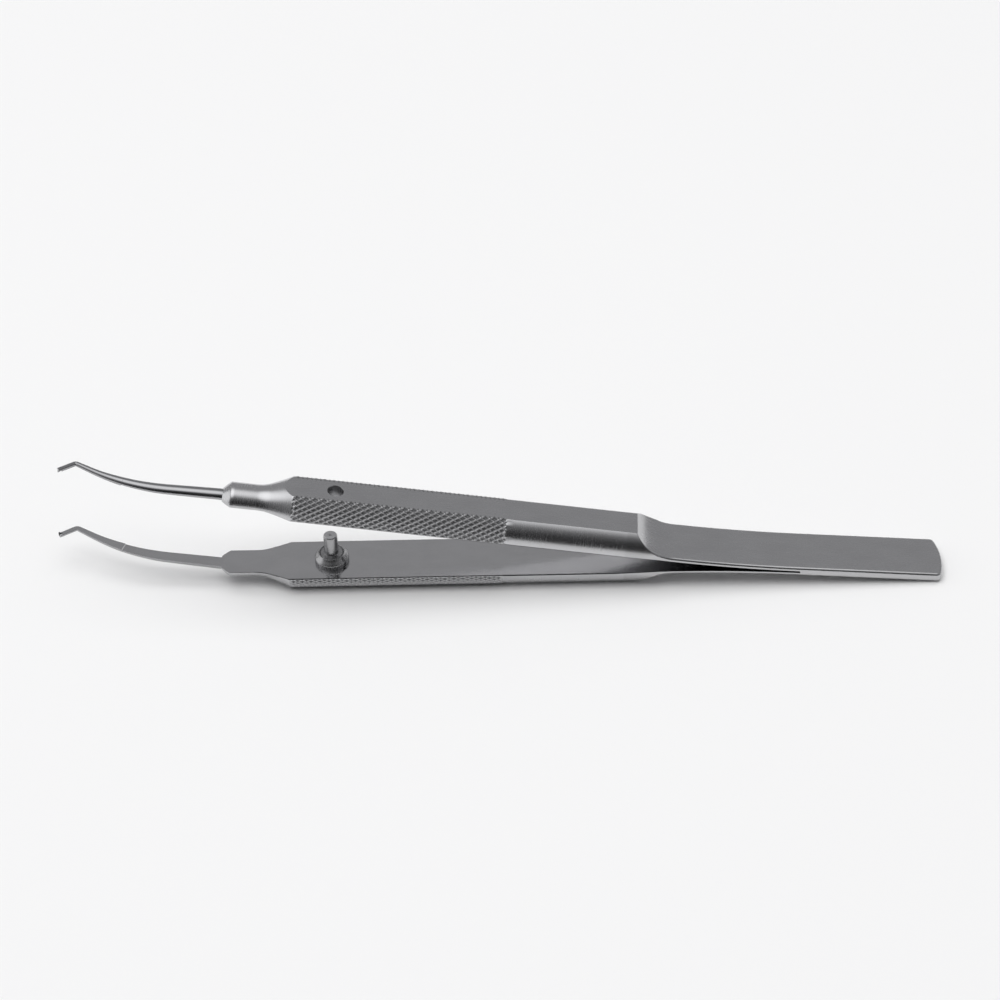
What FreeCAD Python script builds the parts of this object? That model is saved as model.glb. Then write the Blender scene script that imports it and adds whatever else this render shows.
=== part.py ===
import FreeCAD, Part
import math
import os
import Sketcher

# Colibri forceps: two half-round arms on leaf springs, joined at the tail.
# Millimetres and degrees. An arm is drawn in a frame of its own: x along the
# arm from the guide pin toward the tail, y to the side, z outward from the
# axis of the round bar that the arm is turned from.
NUMBERS = {
    "tip_x": -34.35,
    "apex_x": -32.1,
    "platform_rear_x": -26.1,
    "shank_root_x": -14.0,
    "neck_front_x": -13.78,
    "chamfer_rear_x": -12.73,
    "flare_front_x": -9.55,
    "knurl_front_x": -5.25,
    "knurl_rear_x": 21.3,
    "trim_front_x": 35.6,
    "flat_rear_x": 37.4,
    "trim_rear_x": 40.6,
    "leaf_front_x": 42.1,
    "front_face_radius": 1.2,
    "neck_radius": 2.16,
    "flare_fillet": 4.7,
    "flare_angle": 20.8,
    "flare_hollow": 30.0,
    "chamfer_round": 5.0,
    "handle_radius": 3.62,
    "core_radius": 3.2,
    "axis_depth": 0.4,
    "arm_thickness": 2.7,
    "transition_radius": 6.1,
    "leaf_half_width": 3.42,
    "leaf_thickness": 0.5,
    "leaf_length": 15.9,
    "half_opening": 4.78,
    "half_slot": 0.1,
    "tail_length": 17.7,
    "tail_end_radius": 10.0,
    "tail_end_shift": 0.9,
    "tail_corner_radius": 0.6,
    "pin_radius": 0.87,
    "pin_height": 4.1,
    "pin_chamfer": 0.18,
    "guide_hole_radius": 0.98,
    "guide_hole_shift": 0.05,
    "guide_lead_in": 0.25,
    "centre_mark_radius": 0.2,
    "centre_mark_depth": 0.12,
    "collar_radius": 2.12,
    "collar_rim": 0.65,
    "collar_top_radius": 1.55,
    "collar_height": 1.3,
    "ridge_height": 0.06,
    "pit_depth": 0.19,
    "runout_depth": 0.05,
    "platform_step": 0.1,
    "shank_lean": 0.093,
    "shank_overlap": 0.3,
    "tip_lean": 0.07,
    "path_straight": 6.2,
    "path_radius": 22.5,
    "path_start_angle": 4.8,
    "path_end_angle": 31.5,
    "tip_side_offset": 3.54,
    "tip_half_width": 0.32,
    "tooth_height": 0.18,
    "tooth_length": 0.34,
    "tooth_half_width": 0.1,
    "tooth_side_reach": 0.29,
    "tooth_root": 0.1,
    "tooth_top_share": 0.4,
    "notch_half_width": 0.135,
    "notch_side_reach": 0.48,
    "notch_depth": 0.21,
    "notch_height": 0.1,
    "notch_length": 0.39,
    "notch_overrun": 0.2,
    "cut_margin": 2.0,
    "bore_margin": 1.0,
}
KNURL_STEPS = 48
KNURL_ROWS = 10
PATH_BENDS = 6
STRAIGHT_SHARE = 0.55
# Half width of the shank at distances from its root along x.
WIDTH_TABLE = ((0.0, 0.88), (5.2, 0.81), (7.7, 0.77), (12.7, 0.6), (15.2, 0.45), (18.1, 0.33))

V = NUMBERS
X_AXIS = FreeCAD.Vector(1, 0, 0)
Y_AXIS = FreeCAD.Vector(0, 1, 0)
Z_AXIS = FreeCAD.Vector(0, 0, 1)

doc = FreeCAD.newDocument("colibri_forceps")
sheet = doc.addObject("Spreadsheet::Sheet", "Values")
for line, (word, number) in enumerate(NUMBERS.items(), 1):
    sheet.set("A%d" % line, word)
    sheet.set("B%d" % line, str(number))
    sheet.setAlias("B%d" % line, word)
doc.recompute()


def amount(terms):
    # a length is a sum of (factor, word) pairs; an empty word is a plain number
    return sum(factor * V.get(word, 1.0) for factor, word in terms)


def formula(terms):
    return " + ".join("%.9g * Values.%s" % term if term[1] else "%.9g" % term[0] for term in terms)


def plane_of(body, role):
    for item in body.Origin.OriginFeatures:
        if item.Role == role:
            return item
    raise ValueError(role)


def new_sketch(body, name, role):
    sketch = body.newObject("Sketcher::SketchObject", name)
    sketch.AttachmentSupport = [(plane_of(body, role), "")]
    sketch.MapMode = "FlatFace"
    return sketch


def arc_between(centre, start, stop):
    # the shorter arc, returned with the end at which the outline enters it
    circle = Part.Circle(centre, Z_AXIS, (start - centre).Length)
    first = circle.parameter(start)
    last = circle.parameter(stop)
    if (last - first) % (2 * math.pi) < math.pi:
        return Part.ArcOfCircle(circle, first, last), 1
    return Part.ArcOfCircle(circle, last, first), 2


def outline(body, name, role, points, arcs=None):
    # arcs gives the circle centre of each edge that is not straight
    arcs = arcs or {}
    sketch = new_sketch(body, name, role)
    spots = [FreeCAD.Vector(amount(p[0]), amount(p[1]), 0) for p in points]
    count = len(spots)
    entries = []
    for number, start in enumerate(spots):
        stop = spots[(number + 1) % count]
        edge = Part.LineSegment(start, stop)
        entry = 1
        if number in arcs:
            edge, entry = arc_between(arcs[number], start, stop)
        sketch.addGeometry(edge)
        entries.append(entry)
    for number, entry in enumerate(entries):
        after = (number + 1) % count
        ends = (number, 3 - entry, after, entries[after])
        sketch.addConstraint(Sketcher.Constraint("Coincident", *ends))
    for number, point in enumerate(points):
        for kind, terms in zip(("DistanceX", "DistanceY"), point):
            ends = (-1, 1, number, entries[number])
            index = sketch.addConstraint(Sketcher.Constraint(kind, *ends, amount(terms)))
            label = "corner%d_%s" % (number, kind[-1].lower())
            sketch.renameConstraint(index, label)
            sketch.setExpression("Constraints." + label, formula(terms))
    return sketch


def beside_chord(start, stop, radius, way):
    # centre of the circle through two points, left (+1) or right of the chord
    a = FreeCAD.Vector(amount(start[0]), amount(start[1]), 0)
    b = FreeCAD.Vector(amount(stop[0]), amount(stop[1]), 0)
    chord = b - a
    height = math.sqrt(radius ** 2 - (chord.Length / 2) ** 2)
    normal = Z_AXIS.cross(chord).normalize() * way
    return (a + b) * 0.5 + normal * height


def at(word, extra=0.0):
    return ((1, word), (extra, "")) if extra else ((1, word),)


def cut_through(body, sketch, name):
    before = body.Shape.Volume
    pocket = body.newObject("PartDesign::Pocket", name)
    pocket.Profile = sketch
    pocket.Midplane = True
    pocket.Length = 2 * (2 * V["handle_radius"] + V["cut_margin"])
    doc.recompute()
    if body.Shape.Volume > before - 0.01:
        raise ValueError("no material removed by " + name)


def turned_blank(body, name):
    # chamfer and flare are shallow arcs, the flare hollow and the chamfer round
    fillet = V["flare_fillet"]
    angle = math.radians(V["flare_angle"])
    run = fillet * math.sin(angle)
    rise = fillet * (1 - math.cos(angle))
    zero = ((0, "neck_radius"),)
    points = [
        (at("neck_front_x"), zero),
        (at("neck_front_x"), at("front_face_radius")),
        (at("chamfer_rear_x"), at("neck_radius")),
        (at("flare_front_x"), at("neck_radius")),
        (at("flare_front_x", run), at("neck_radius", rise)),
        (at("knurl_front_x"), at("handle_radius")),
        (at("knurl_front_x"), at("core_radius")),
        (at("knurl_rear_x"), at("core_radius")),
        (at("knurl_rear_x"), at("handle_radius")),
        (at("leaf_front_x"), at("handle_radius")),
        (at("leaf_front_x"), zero),
    ]
    arcs = {
        1: beside_chord(points[1], points[2], V["chamfer_round"], -1),
        3: FreeCAD.Vector(V["flare_front_x"], V["neck_radius"] + fillet, 0),
        4: beside_chord(points[4], points[5], V["flare_hollow"], 1),
    }
    profile = outline(body, name + "_turning", "XZ_Plane", points, arcs)
    turning = body.newObject("PartDesign::Revolution", name + "_bar")
    turning.Profile = profile
    turning.ReferenceAxis = (plane_of(body, "X_Axis"), [""])
    turning.Angle = 360
    doc.recompute()


def mill_flats(body, name):
    # inner face, outer flat with its concave run-down to the leaf, and sides
    beyond = V["cut_margin"]
    low = ((-1, "handle_radius"), (-1, "axis_depth"))
    high = ((1, "handle_radius"), (1, "arm_thickness"))
    inner = at("axis_depth")
    flat = ((1, "axis_depth"), (1, "arm_thickness"))
    leaf = ((1, "axis_depth"), (1, "leaf_thickness"))
    front = at("neck_front_x", -beyond)
    rear = at("leaf_front_x", beyond)
    points = [(front, low), (rear, low), (rear, inner), (front, inner)]
    cut_through(body, outline(body, name + "_inner_sketch", "XZ_Plane", points), name + "_inner")

    radius = V["transition_radius"]
    drop = radius - V["arm_thickness"] + V["leaf_thickness"]
    run = math.sqrt(radius ** 2 - drop ** 2)
    foot = at("flat_rear_x", run)
    points = [(front, flat), (at("flat_rear_x"), flat), (foot, leaf), (rear, leaf)]
    points += [(rear, high), (front, high)]
    centre = FreeCAD.Vector(amount(foot), amount(leaf) + radius, 0)
    profile = outline(body, name + "_outer_sketch", "XZ_Plane", points, {1: centre})
    cut_through(body, profile, name + "_outer")

    for side, word in ((1, "left"), (-1, "right")):
        wide = ((side, "handle_radius"),)
        outer = ((2 * side, "handle_radius"),)
        narrow = ((side, "leaf_half_width"),)
        points = [(at("trim_front_x"), wide), (at("trim_rear_x"), narrow), (rear, narrow)]
        points += [(rear, outer), (at("trim_front_x"), outer)]
        sketch = outline(body, name + "_trim_sketch_" + word, "XY_Plane", points)
        cut_through(body, sketch, name + "_trim_" + word)


def half_width(distance):
    for (near, wide), (far, narrow) in zip(WIDTH_TABLE, WIDTH_TABLE[1:]):
        if distance <= far:
            break
    share = (distance - near) / (far - near)
    return wide + (narrow - wide) * share


def path_stations():
    # distance from the root, side offset and heading of the plan path
    start = math.radians(V["path_start_angle"])
    end = math.radians(V["path_end_angle"])
    straight = V["path_straight"]
    radius = V["path_radius"]
    x0 = straight * math.cos(start)
    y0 = straight * math.sin(start)
    inside = -V["shank_overlap"]
    stations = [(inside, inside * math.tan(start), start)]
    stations.append((x0 * STRAIGHT_SHARE, y0 * STRAIGHT_SHARE, start))
    for step in range(PATH_BENDS + 1):
        angle = start + (end - start) * step / PATH_BENDS
        x = x0 + radius * (math.sin(angle) - math.sin(start))
        y = y0 + radius * (math.cos(start) - math.cos(angle))
        stations.append((x, y, angle))
    return stations


def section(x, y, heading, level, half, plinth, side):
    # half-round section, flat side inward, with an optional raised plinth
    across = FreeCAD.Vector(math.sin(heading) * side, math.cos(heading), 0)
    centre = FreeCAD.Vector(x, y * side, level)
    left = centre + across * half
    right = centre - across * half
    arc = Part.Arc(left, centre + Z_AXIS * half, right).toShape()
    corners = [right, left]
    if plinth:
        down = Z_AXIS * -plinth
        corners = [right, right + down, left + down, left]
    lines = [Part.makeLine(a, b) for a, b in zip(corners, corners[1:])]
    return Part.Wire([arc] + lines)


def tip_heading():
    # heading of the straight from the apex to the tip, and the apex offset
    last_x, last_y, last_heading = path_stations()[-1]
    apex_run = V["shank_root_x"] - V["apex_x"]
    apex_y = last_y + (apex_run - last_x) * math.tan(last_heading)
    heading = math.atan((V["tip_side_offset"] - apex_y) / (V["apex_x"] - V["tip_x"]))
    return heading, apex_run, apex_y


def inward(run):
    # how far the inner face of the shank has leaned toward the other arm
    apex_run = V["shank_root_x"] - V["apex_x"]
    shank = V["shank_lean"] * min(max(run, 0.0), apex_run)
    return shank + V["tip_lean"] * max(run - apex_run, 0.0)


def shank_shape(side):
    root = V["shank_root_x"]
    step = V["platform_step"]
    heading, apex_run, apex_y = tip_heading()

    def wire(run, offset, turn, raised, half=None):
        level = V["axis_depth"] - inward(run)
        width = half or half_width(run)
        return section(root - run, offset, turn, level, width, raised * step, side)

    stations = path_stations()
    rear_run = root - V["platform_rear_x"]
    front = [s for s in stations if s[0] < rear_run]
    back = [s for s in stations if s[0] > rear_run]
    share = (rear_run - front[-1][0]) / (back[0][0] - front[-1][0])
    middle = tuple(a + (b - a) * share for a, b in zip(front[-1], back[0]))
    slope = Part.makeLoft([wire(*s, 0) for s in front + [middle]], True, False)
    platform = Part.makeLoft([wire(*s, 1) for s in [middle] + back], True, False)
    apex_half = half_width(apex_run) / math.cos(stations[-1][2])
    apex = wire(apex_run, apex_y, 0.0, 1, apex_half)
    elbow = Part.makeLoft([wire(*stations[-1], 1), apex], True, True)
    half = V["tip_half_width"]
    end_run = root - V["tip_x"] + half * math.sin(heading)
    tip = wire(end_run, V["tip_side_offset"], heading, 1, half)
    hook = Part.makeLoft([apex, tip], True, True)
    return slope.fuse([platform, elbow, hook])


def tip_block(side, span, length, overrun, low, high, top_share):
    # block on the inner face of the tip: across by span, then along from the
    # end, then inward, where its top is narrowed to a share of its foot
    heading, apex_run, apex_y = tip_heading()
    along = FreeCAD.Vector(math.cos(heading), -math.sin(heading) * side, 0)
    across = FreeCAD.Vector(math.sin(heading) * side, math.cos(heading), 0)
    x = V["tip_x"] - V["tip_half_width"] * math.sin(heading)
    z = V["axis_depth"] - inward(V["shank_root_x"] - V["tip_x"]) - V["platform_step"]
    end = FreeCAD.Vector(x, V["tip_side_offset"] * side, z)
    wires = []
    near, far = sorted(span)
    for level, size in ((-low, 1.0), (0.0, 1.0), (high, top_share)):
        middle = (near + far) / 2
        reach = (far - near) / 2 * size
        rear = length * size
        spots = []
        for a, b in ((-overrun, -1), (rear, -1), (rear, 1), (-overrun, 1)):
            spots.append(end + along * a + across * (middle + reach * b) - Z_AXIS * level)
        wires.append(Part.makePolygon(spots + spots[:1]))
    return Part.makeLoft(wires, True, True)


def knurl_shape():
    # Raised net of crossing ridges with a four-sided pit in every mesh.
    radius = V["handle_radius"]
    low = V["axis_depth"]
    high = low + V["arm_thickness"]
    first = math.asin(low / radius)
    last = math.asin(high / radius)
    pitch = (V["knurl_rear_x"] - V["knurl_front_x"]) / KNURL_STEPS
    points = []
    index = {}
    for side in (1, -1):
        for i in range(KNURL_STEPS + 1):
            for j in range(KNURL_ROWS + 1):
                reach = radius + V["ridge_height"]
                if (i + j) % 2:
                    reach = radius - V["pit_depth"]
                if i in (0, KNURL_STEPS) or j in (0, KNURL_ROWS):
                    reach = radius - V["runout_depth"]
                angle = first + (last - first) * j / KNURL_ROWS
                z = reach * math.sin(angle)
                if j == 0:
                    z = low
                if j == KNURL_ROWS:
                    z = high
                y = side * math.sqrt(reach ** 2 - z ** 2)
                index[side, i, j] = len(points)
                points.append(FreeCAD.Vector(V["knurl_front_x"] + pitch * i, y, z))
    facets = []

    def add(a, b, c, flip):
        facets.append((index[a], index[c], index[b]) if flip else (index[a], index[b], index[c]))

    for side in (1, -1):
        for i in range(KNURL_STEPS):
            for j in range(KNURL_ROWS):
                a, b = (side, i, j), (side, i + 1, j)
                c, d = (side, i + 1, j + 1), (side, i, j + 1)
                if (i + j) % 2:
                    a, b, c, d = b, c, d, a
                add(a, b, c, side > 0)
                add(a, c, d, side > 0)
    for i in range(KNURL_STEPS):
        for j, flip in ((0, False), (KNURL_ROWS, True)):
            a, b = (1, i, j), (1, i + 1, j)
            c, d = (-1, i + 1, j), (-1, i, j)
            add(a, b, c, flip)
            add(a, c, d, flip)
    for i, flip in ((0, False), (KNURL_STEPS, True)):
        for j in range(KNURL_ROWS):
            a, b = (1, i, j), (-1, i, j)
            c, d = (-1, i, j + 1), (1, i, j + 1)
            add(a, d, c, flip)
            add(a, c, b, flip)
    skin = Part.Shape()
    skin.makeShapeFromMesh((points, facets), 0.0001)
    solid = Part.Solid(Part.Shell(skin.Faces))
    if solid.Volume < 0:
        solid.reverse()
    return solid.removeSplitter()


def free_form(name, shape):
    feature = doc.addObject("Part::Feature", name)
    feature.Shape = shape
    return feature


# The lower arm lies flat on its outer flat; everything else is placed from it.
tilt = math.radians(V["half_opening"])
inner_z = V["arm_thickness"]
leaf_run = V["leaf_length"] * math.sin(tilt) / tilt
leaf_drop = V["leaf_length"] * (1 - math.cos(tilt)) / tilt
ahead = FreeCAD.Vector(math.cos(tilt), 0, -math.sin(tilt))
upward = FreeCAD.Vector(math.sin(tilt), 0, math.cos(tilt))
lower_end = FreeCAD.Vector(V["leaf_front_x"], 0, inner_z)
middle = lower_end + ahead * leaf_run + upward * (leaf_drop + V["half_slot"])
upper_end = middle - ahead * leaf_run + upward * (leaf_drop + V["half_slot"])
upper_turn = FreeCAD.Rotation(Y_AXIS, 2 * V["half_opening"])
upper_shift = FreeCAD.Vector(V["leaf_front_x"], 0, V["axis_depth"])
upper_base = upper_end - upper_turn.multVec(upper_shift)
half_turn = FreeCAD.Rotation(Y_AXIS, V["half_opening"])
flip = FreeCAD.Rotation(X_AXIS, 180)
lower_base = FreeCAD.Vector(0, 0, V["axis_depth"] + V["arm_thickness"])
KNURL = knurl_shape()


def arm(name, side, base, turn):
    # side is +1 or -1: the way the tip curves in the frame of the arm
    body = doc.addObject("PartDesign::Body", name + "_blank")
    turned_blank(body, name)
    mill_flats(body, name)
    pieces = [body, free_form(name + "_shank", shank_shape(side))]
    pieces.append(free_form(name + "_knurl", KNURL))
    tooth = V["tooth_half_width"]
    notch = V["notch_half_width"]
    if name.startswith("upper"):
        teeth = [(-tooth, tooth)]
        notches = [(way * tooth, way * V["notch_side_reach"]) for way in (1, -1)]
    else:
        teeth = [(way * notch, way * V["tooth_side_reach"]) for way in (1, -1)]
        notches = [(-notch, notch)]
    tooth_size = (V["tooth_length"], 0.0, V["tooth_root"], V["tooth_height"], V["tooth_top_share"])
    notch_size = (V["notch_length"], V["notch_overrun"], V["notch_depth"], V["notch_height"], 1.0)
    cuts = [tip_block(side, span, *notch_size) for span in notches]
    for number, span in enumerate(teeth, 1):
        pieces.append(free_form(name + "_tooth_%d" % number, tip_block(side, span, *tooth_size)))
    joined = doc.addObject("Part::MultiFuse", name + "_joined")
    joined.Shapes = pieces
    joined.Refine = False
    tools = [free_form(name + "_notch_%d" % number, cut) for number, cut in enumerate(cuts, 1)]
    bore = doc.addObject("Part::Cylinder", name + "_bore")
    word = "guide_hole_radius" if name.startswith("upper") else "pin_radius"
    bore.setExpression("Radius", "Values." + word)
    bore.setExpression("Height", "Values.arm_thickness + 2 * Values.bore_margin")
    shift = V["guide_hole_shift"] if name.startswith("upper") else 0.0
    bore.Placement.Base = FreeCAD.Vector(-shift, 0, V["axis_depth"] - V["bore_margin"])
    tools.append(bore)
    if name.startswith("upper"):
        mouth = doc.addObject("Part::Cone", name + "_lead_in")
        mouth.setExpression("Radius1", "Values.guide_hole_radius + Values.guide_lead_in")
        mouth.setExpression("Radius2", "Values.guide_hole_radius")
        mouth.setExpression("Height", "Values.guide_lead_in")
        mouth.Placement.Base = FreeCAD.Vector(-shift, 0, V["axis_depth"])
        tools.append(mouth)
    gathered = doc.addObject("Part::MultiFuse", name + "_tools")
    gathered.Shapes = tools
    gathered.Refine = False
    finished = doc.addObject("Part::Cut", name)
    finished.Base = joined
    finished.Tool = gathered
    finished.Placement = FreeCAD.Placement(base, turn)
    return finished


def leaf(name, turn):
    # a strip bent to a constant curve, seen from its joined end
    body = doc.addObject("PartDesign::Body", name)
    angle = math.radians(V["half_opening"])
    inside = V["leaf_length"] / angle
    outside = inside - V["leaf_thickness"]
    pivot = FreeCAD.Vector(0, V["half_slot"] + inside, 0)
    spots = []
    for radius, bend in ((inside, 0.0), (inside, angle), (outside, angle), (outside, 0.0)):
        spots.append((-radius * math.sin(bend), pivot.y - radius * math.cos(bend)))
    points = []
    for x, z in spots:
        along = at("leaf_length", x - V["leaf_length"])
        points.append((along, at("half_slot", z - V["half_slot"])))
    sketch = outline(body, name + "_sketch", "XZ_Plane", points, {0: pivot, 2: pivot})
    pad = body.newObject("PartDesign::Pad", name + "_strip")
    pad.Profile = sketch
    pad.Midplane = True
    pad.setExpression("Length", "2 * Values.leaf_half_width")
    body.Placement = FreeCAD.Placement(middle, turn)
    return body


def tail_block():
    body = doc.addObject("PartDesign::Body", "tail")
    half = V["leaf_half_width"]
    shift = V["tail_end_shift"]
    length = V["tail_length"]
    radius = V["tail_end_radius"]
    ends = []
    for y in (-half, half):
        ends.append(length - radius + math.sqrt(radius ** 2 - (y + shift) ** 2))
    low = ((-1, "leaf_half_width"),)
    high = ((1, "leaf_half_width"),)
    front = ((0, "tail_length"),)
    points = [(front, low), (at("tail_length", ends[0] - length), low)]
    points += [(at("tail_length", ends[1] - length), high), (front, high)]
    centre = FreeCAD.Vector(length - radius, -shift, 0)
    sketch = outline(body, "tail_sketch", "XY_Plane", points, {1: centre})
    pad = body.newObject("PartDesign::Pad", "tail_plate")
    pad.Profile = sketch
    pad.Midplane = True
    pad.setExpression("Length", "2 * (Values.half_slot + Values.leaf_thickness)")
    doc.recompute()
    corners = []
    for number, edge in enumerate(pad.Shape.Edges, 1):
        ends = [vertex.Point for vertex in edge.Vertexes]
        if len(ends) == 2 and abs(ends[0].z - ends[1].z) > 0.5 and ends[0].x > length / 2:
            corners.append("Edge%d" % number)
    fillet = body.newObject("PartDesign::Fillet", "tail_corners")
    fillet.Base = (pad, corners)
    fillet.setExpression("Radius", "Values.tail_corner_radius")
    body.Placement = FreeCAD.Placement(middle, half_turn)
    return body


def pin():
    # turned in one piece: shank in the arm, conical stop collar, guide pin
    # with a centre mark in its end
    body = doc.addObject("PartDesign::Body", "guide_pin")
    zero = ((0, "pin_radius"),)
    foot = ((0, "pin_height"),)
    top = ((1, "arm_thickness"), (1, "pin_height"))
    seat = at("arm_thickness")
    rim = ((1, "arm_thickness"), (1, "collar_rim"))
    shelf = ((1, "arm_thickness"), (1, "collar_height"))
    wide = at("pin_radius")
    points = [(zero, foot), (wide, foot), (wide, seat), (at("collar_radius"), seat)]
    points += [(at("collar_radius"), rim), (at("collar_top_radius"), shelf), (wide, shelf)]
    points += [(wide, top + ((-1, "pin_chamfer"),)), (((1, "pin_radius"), (-1, "pin_chamfer")), top)]
    points += [(at("centre_mark_radius"), top), (zero, top + ((-1, "centre_mark_depth"),))]
    sketch = outline(body, "guide_pin_sketch", "XZ_Plane", points)
    turning = body.newObject("PartDesign::Revolution", "guide_pin_turning")
    turning.Profile = sketch
    turning.ReferenceAxis = (plane_of(body, "Z_Axis"), [""])
    turning.Angle = 360
    return body


nodes = [
    pin(),
    tail_block(),
    leaf("upper_leaf_spring", half_turn),
    leaf("lower_leaf_spring", half_turn.multiply(flip)),
    arm("upper_arm", 1, upper_base, upper_turn),
    arm("lower_arm", -1, lower_base, flip),
]
doc.recompute()

for item in doc.Objects:
    if "Invalid" in item.State or "Error" in item.State:
        raise ValueError(item.Name + " did not build")
os.makedirs("parts", exist_ok=True)
for node in nodes:
    node.Label = node.Name
    shape = node.Shape
    if shape.isNull() or not shape.isValid() or len(shape.Solids) != 1:
        raise ValueError(node.Label + " is not one sound solid")
    shape.exportStep(os.path.join("parts", node.Label + ".step"))
    print(node.Label, round(shape.Volume, 3), len(shape.Faces))
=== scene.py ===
import math

import bmesh
import bpy
import numpy as np
from mathutils import Matrix, Vector


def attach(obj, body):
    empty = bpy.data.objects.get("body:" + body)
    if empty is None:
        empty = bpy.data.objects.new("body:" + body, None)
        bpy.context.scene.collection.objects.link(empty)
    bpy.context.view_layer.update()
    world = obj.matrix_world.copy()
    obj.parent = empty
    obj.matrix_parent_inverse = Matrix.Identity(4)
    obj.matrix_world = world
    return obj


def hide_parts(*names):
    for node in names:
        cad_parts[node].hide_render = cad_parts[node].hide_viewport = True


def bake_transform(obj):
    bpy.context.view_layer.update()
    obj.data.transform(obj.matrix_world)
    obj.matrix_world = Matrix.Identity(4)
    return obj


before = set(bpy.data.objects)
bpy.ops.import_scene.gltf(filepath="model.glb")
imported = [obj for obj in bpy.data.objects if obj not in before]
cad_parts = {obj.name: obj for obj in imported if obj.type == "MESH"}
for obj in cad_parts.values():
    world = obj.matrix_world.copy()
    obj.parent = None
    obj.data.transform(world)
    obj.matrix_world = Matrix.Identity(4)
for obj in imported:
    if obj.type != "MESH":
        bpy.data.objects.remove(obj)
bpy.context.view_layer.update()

# Millimetres, in the frame of an arm: x toward the tail, y to the side, z
# outward from the axis of the bar that the arm is turned from.
MM = 0.001
UV_SCALE = 0.05
# the flats' grinding marks are taken from places of their own
INNER_SHIFT = 40
OUTER_SHIFT = 60
NECK_FRONT = -13.78
CHAMFER_REAR = -12.73
FLARE_FRONT = -9.55
KNURL_FRONT = -5.25
KNURL_REAR = 21.3
TRIM_FRONT = 35.6
FLAT_REAR = 37.4
TRIM_REAR = 40.6
LEAF_FRONT = 42.1
FRONT_RADIUS = 1.2
NECK_RADIUS = 2.16
BAR_RADIUS = 3.62
FLARE_FILLET = 4.7
FLARE_ANGLE = math.radians(20.8)
INNER_Z = 0.4
OUTER_Z = 3.1
RUN_DOWN_RADIUS = 6.1
LEAF_THICKNESS = 0.5
LEAF_LENGTH = 15.9
LEAF_HALF = 3.42
HALF_OPENING = math.radians(4.78)
HALF_SLOT = 0.1
TAIL_LENGTH = 17.7
TAIL_END_RADIUS = 10.0
TAIL_END_SHIFT = 0.9
TAIL_CORNER = 0.6
TAIL_EDGE = 0.36
# where the tail begins, measured along the arm
TAIL_START = LEAF_FRONT + LEAF_LENGTH
KNURL_STEPS = 48
KNURL_ROWS = 10
RIDGE = 0.06
PIT = 0.15
FIRST_ROW = 0.92
LAST_ROW = 10.5
FINE = 8
COARSE_GRAIN = 4
PIN_RADIUS = 0.87
HOLE_RADIUS = 0.98
HOLE_X = -0.05

SHANK_ROOT = -14.0
APEX_RUN = 18.1
STRAIGHT = 6.2
PATH_RADIUS = 22.5
PATH_START = math.radians(4.8)
PATH_END = math.radians(31.5)
TIP_X = -34.35
TIP_Y = 3.54
TIP_HALF = 0.32
SHANK_LEAN = 0.093
TIP_LEAN = 0.07
PLATFORM_RUN = 12.1
PLATFORM_STEP = 0.1
PLATFORM_RAMP = 0.1
# half the shank's width at each run from its root
WIDTH_RUNS = (-1.0, 0.0, 5.2, 7.7, 12.7, 15.2, 18.1, 22.0)
HALF_WIDTHS = (0.9, 0.88, 0.81, 0.77, 0.6, 0.45, 0.33, 0.32)
APEX_BEND = 0.42
SHANK_EDGE = 0.035
TOOTH_HALF = 0.1
NOTCH_HALF = 0.135
NOTCH_DEPTH = 0.21
TOOTH_HEIGHT = 0.18

# how far an edge is broken or rounded at each x
OUTER_EDGE = ((KNURL_REAR, 0.0), (KNURL_REAR + 0.5, 0.1), (FLAT_REAR - 0.5, 0.1), (LEAF_FRONT, 0.36))
INNER_EDGE = (
    (CHAMFER_REAR, 0.05),
    (FLARE_FRONT, 0.07),
    (KNURL_FRONT, 0.2),
    (TRIM_FRONT, 0.16),
    (LEAF_FRONT, 0.06),
)
SIDE_LIMIT = ((TRIM_FRONT, BAR_RADIUS + 1), (TRIM_FRONT + 0.001, BAR_RADIUS), (TRIM_REAR, LEAF_HALF))
IN_STEPS = 3
OUT_STEPS = 7
BREAK_SLOPE = math.radians(31)


def placements():
    run = LEAF_LENGTH * math.sin(HALF_OPENING) / HALF_OPENING
    drop = LEAF_LENGTH * (1 - math.cos(HALF_OPENING)) / HALF_OPENING + HALF_SLOT
    ahead = Vector((math.cos(HALF_OPENING), 0, -math.sin(HALF_OPENING)))
    upward = Vector((math.sin(HALF_OPENING), 0, math.cos(HALF_OPENING)))
    middle = Vector((LEAF_FRONT, 0, OUTER_Z - INNER_Z)) + ahead * run + upward * drop
    upper_end = middle - ahead * run + upward * drop
    turn = Matrix.Rotation(2 * HALF_OPENING, 4, "Y")
    upper = Matrix.Translation(upper_end - turn @ Vector((LEAF_FRONT, 0, INNER_Z))) @ turn
    lower = Matrix.Translation((0, 0, OUTER_Z)) @ Matrix.Rotation(math.pi, 4, "X")
    tail = Matrix.Translation(middle) @ Matrix.Rotation(HALF_OPENING, 4, "Y")
    return upper, lower, tail


UPPER, LOWER, TAIL = placements()


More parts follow.
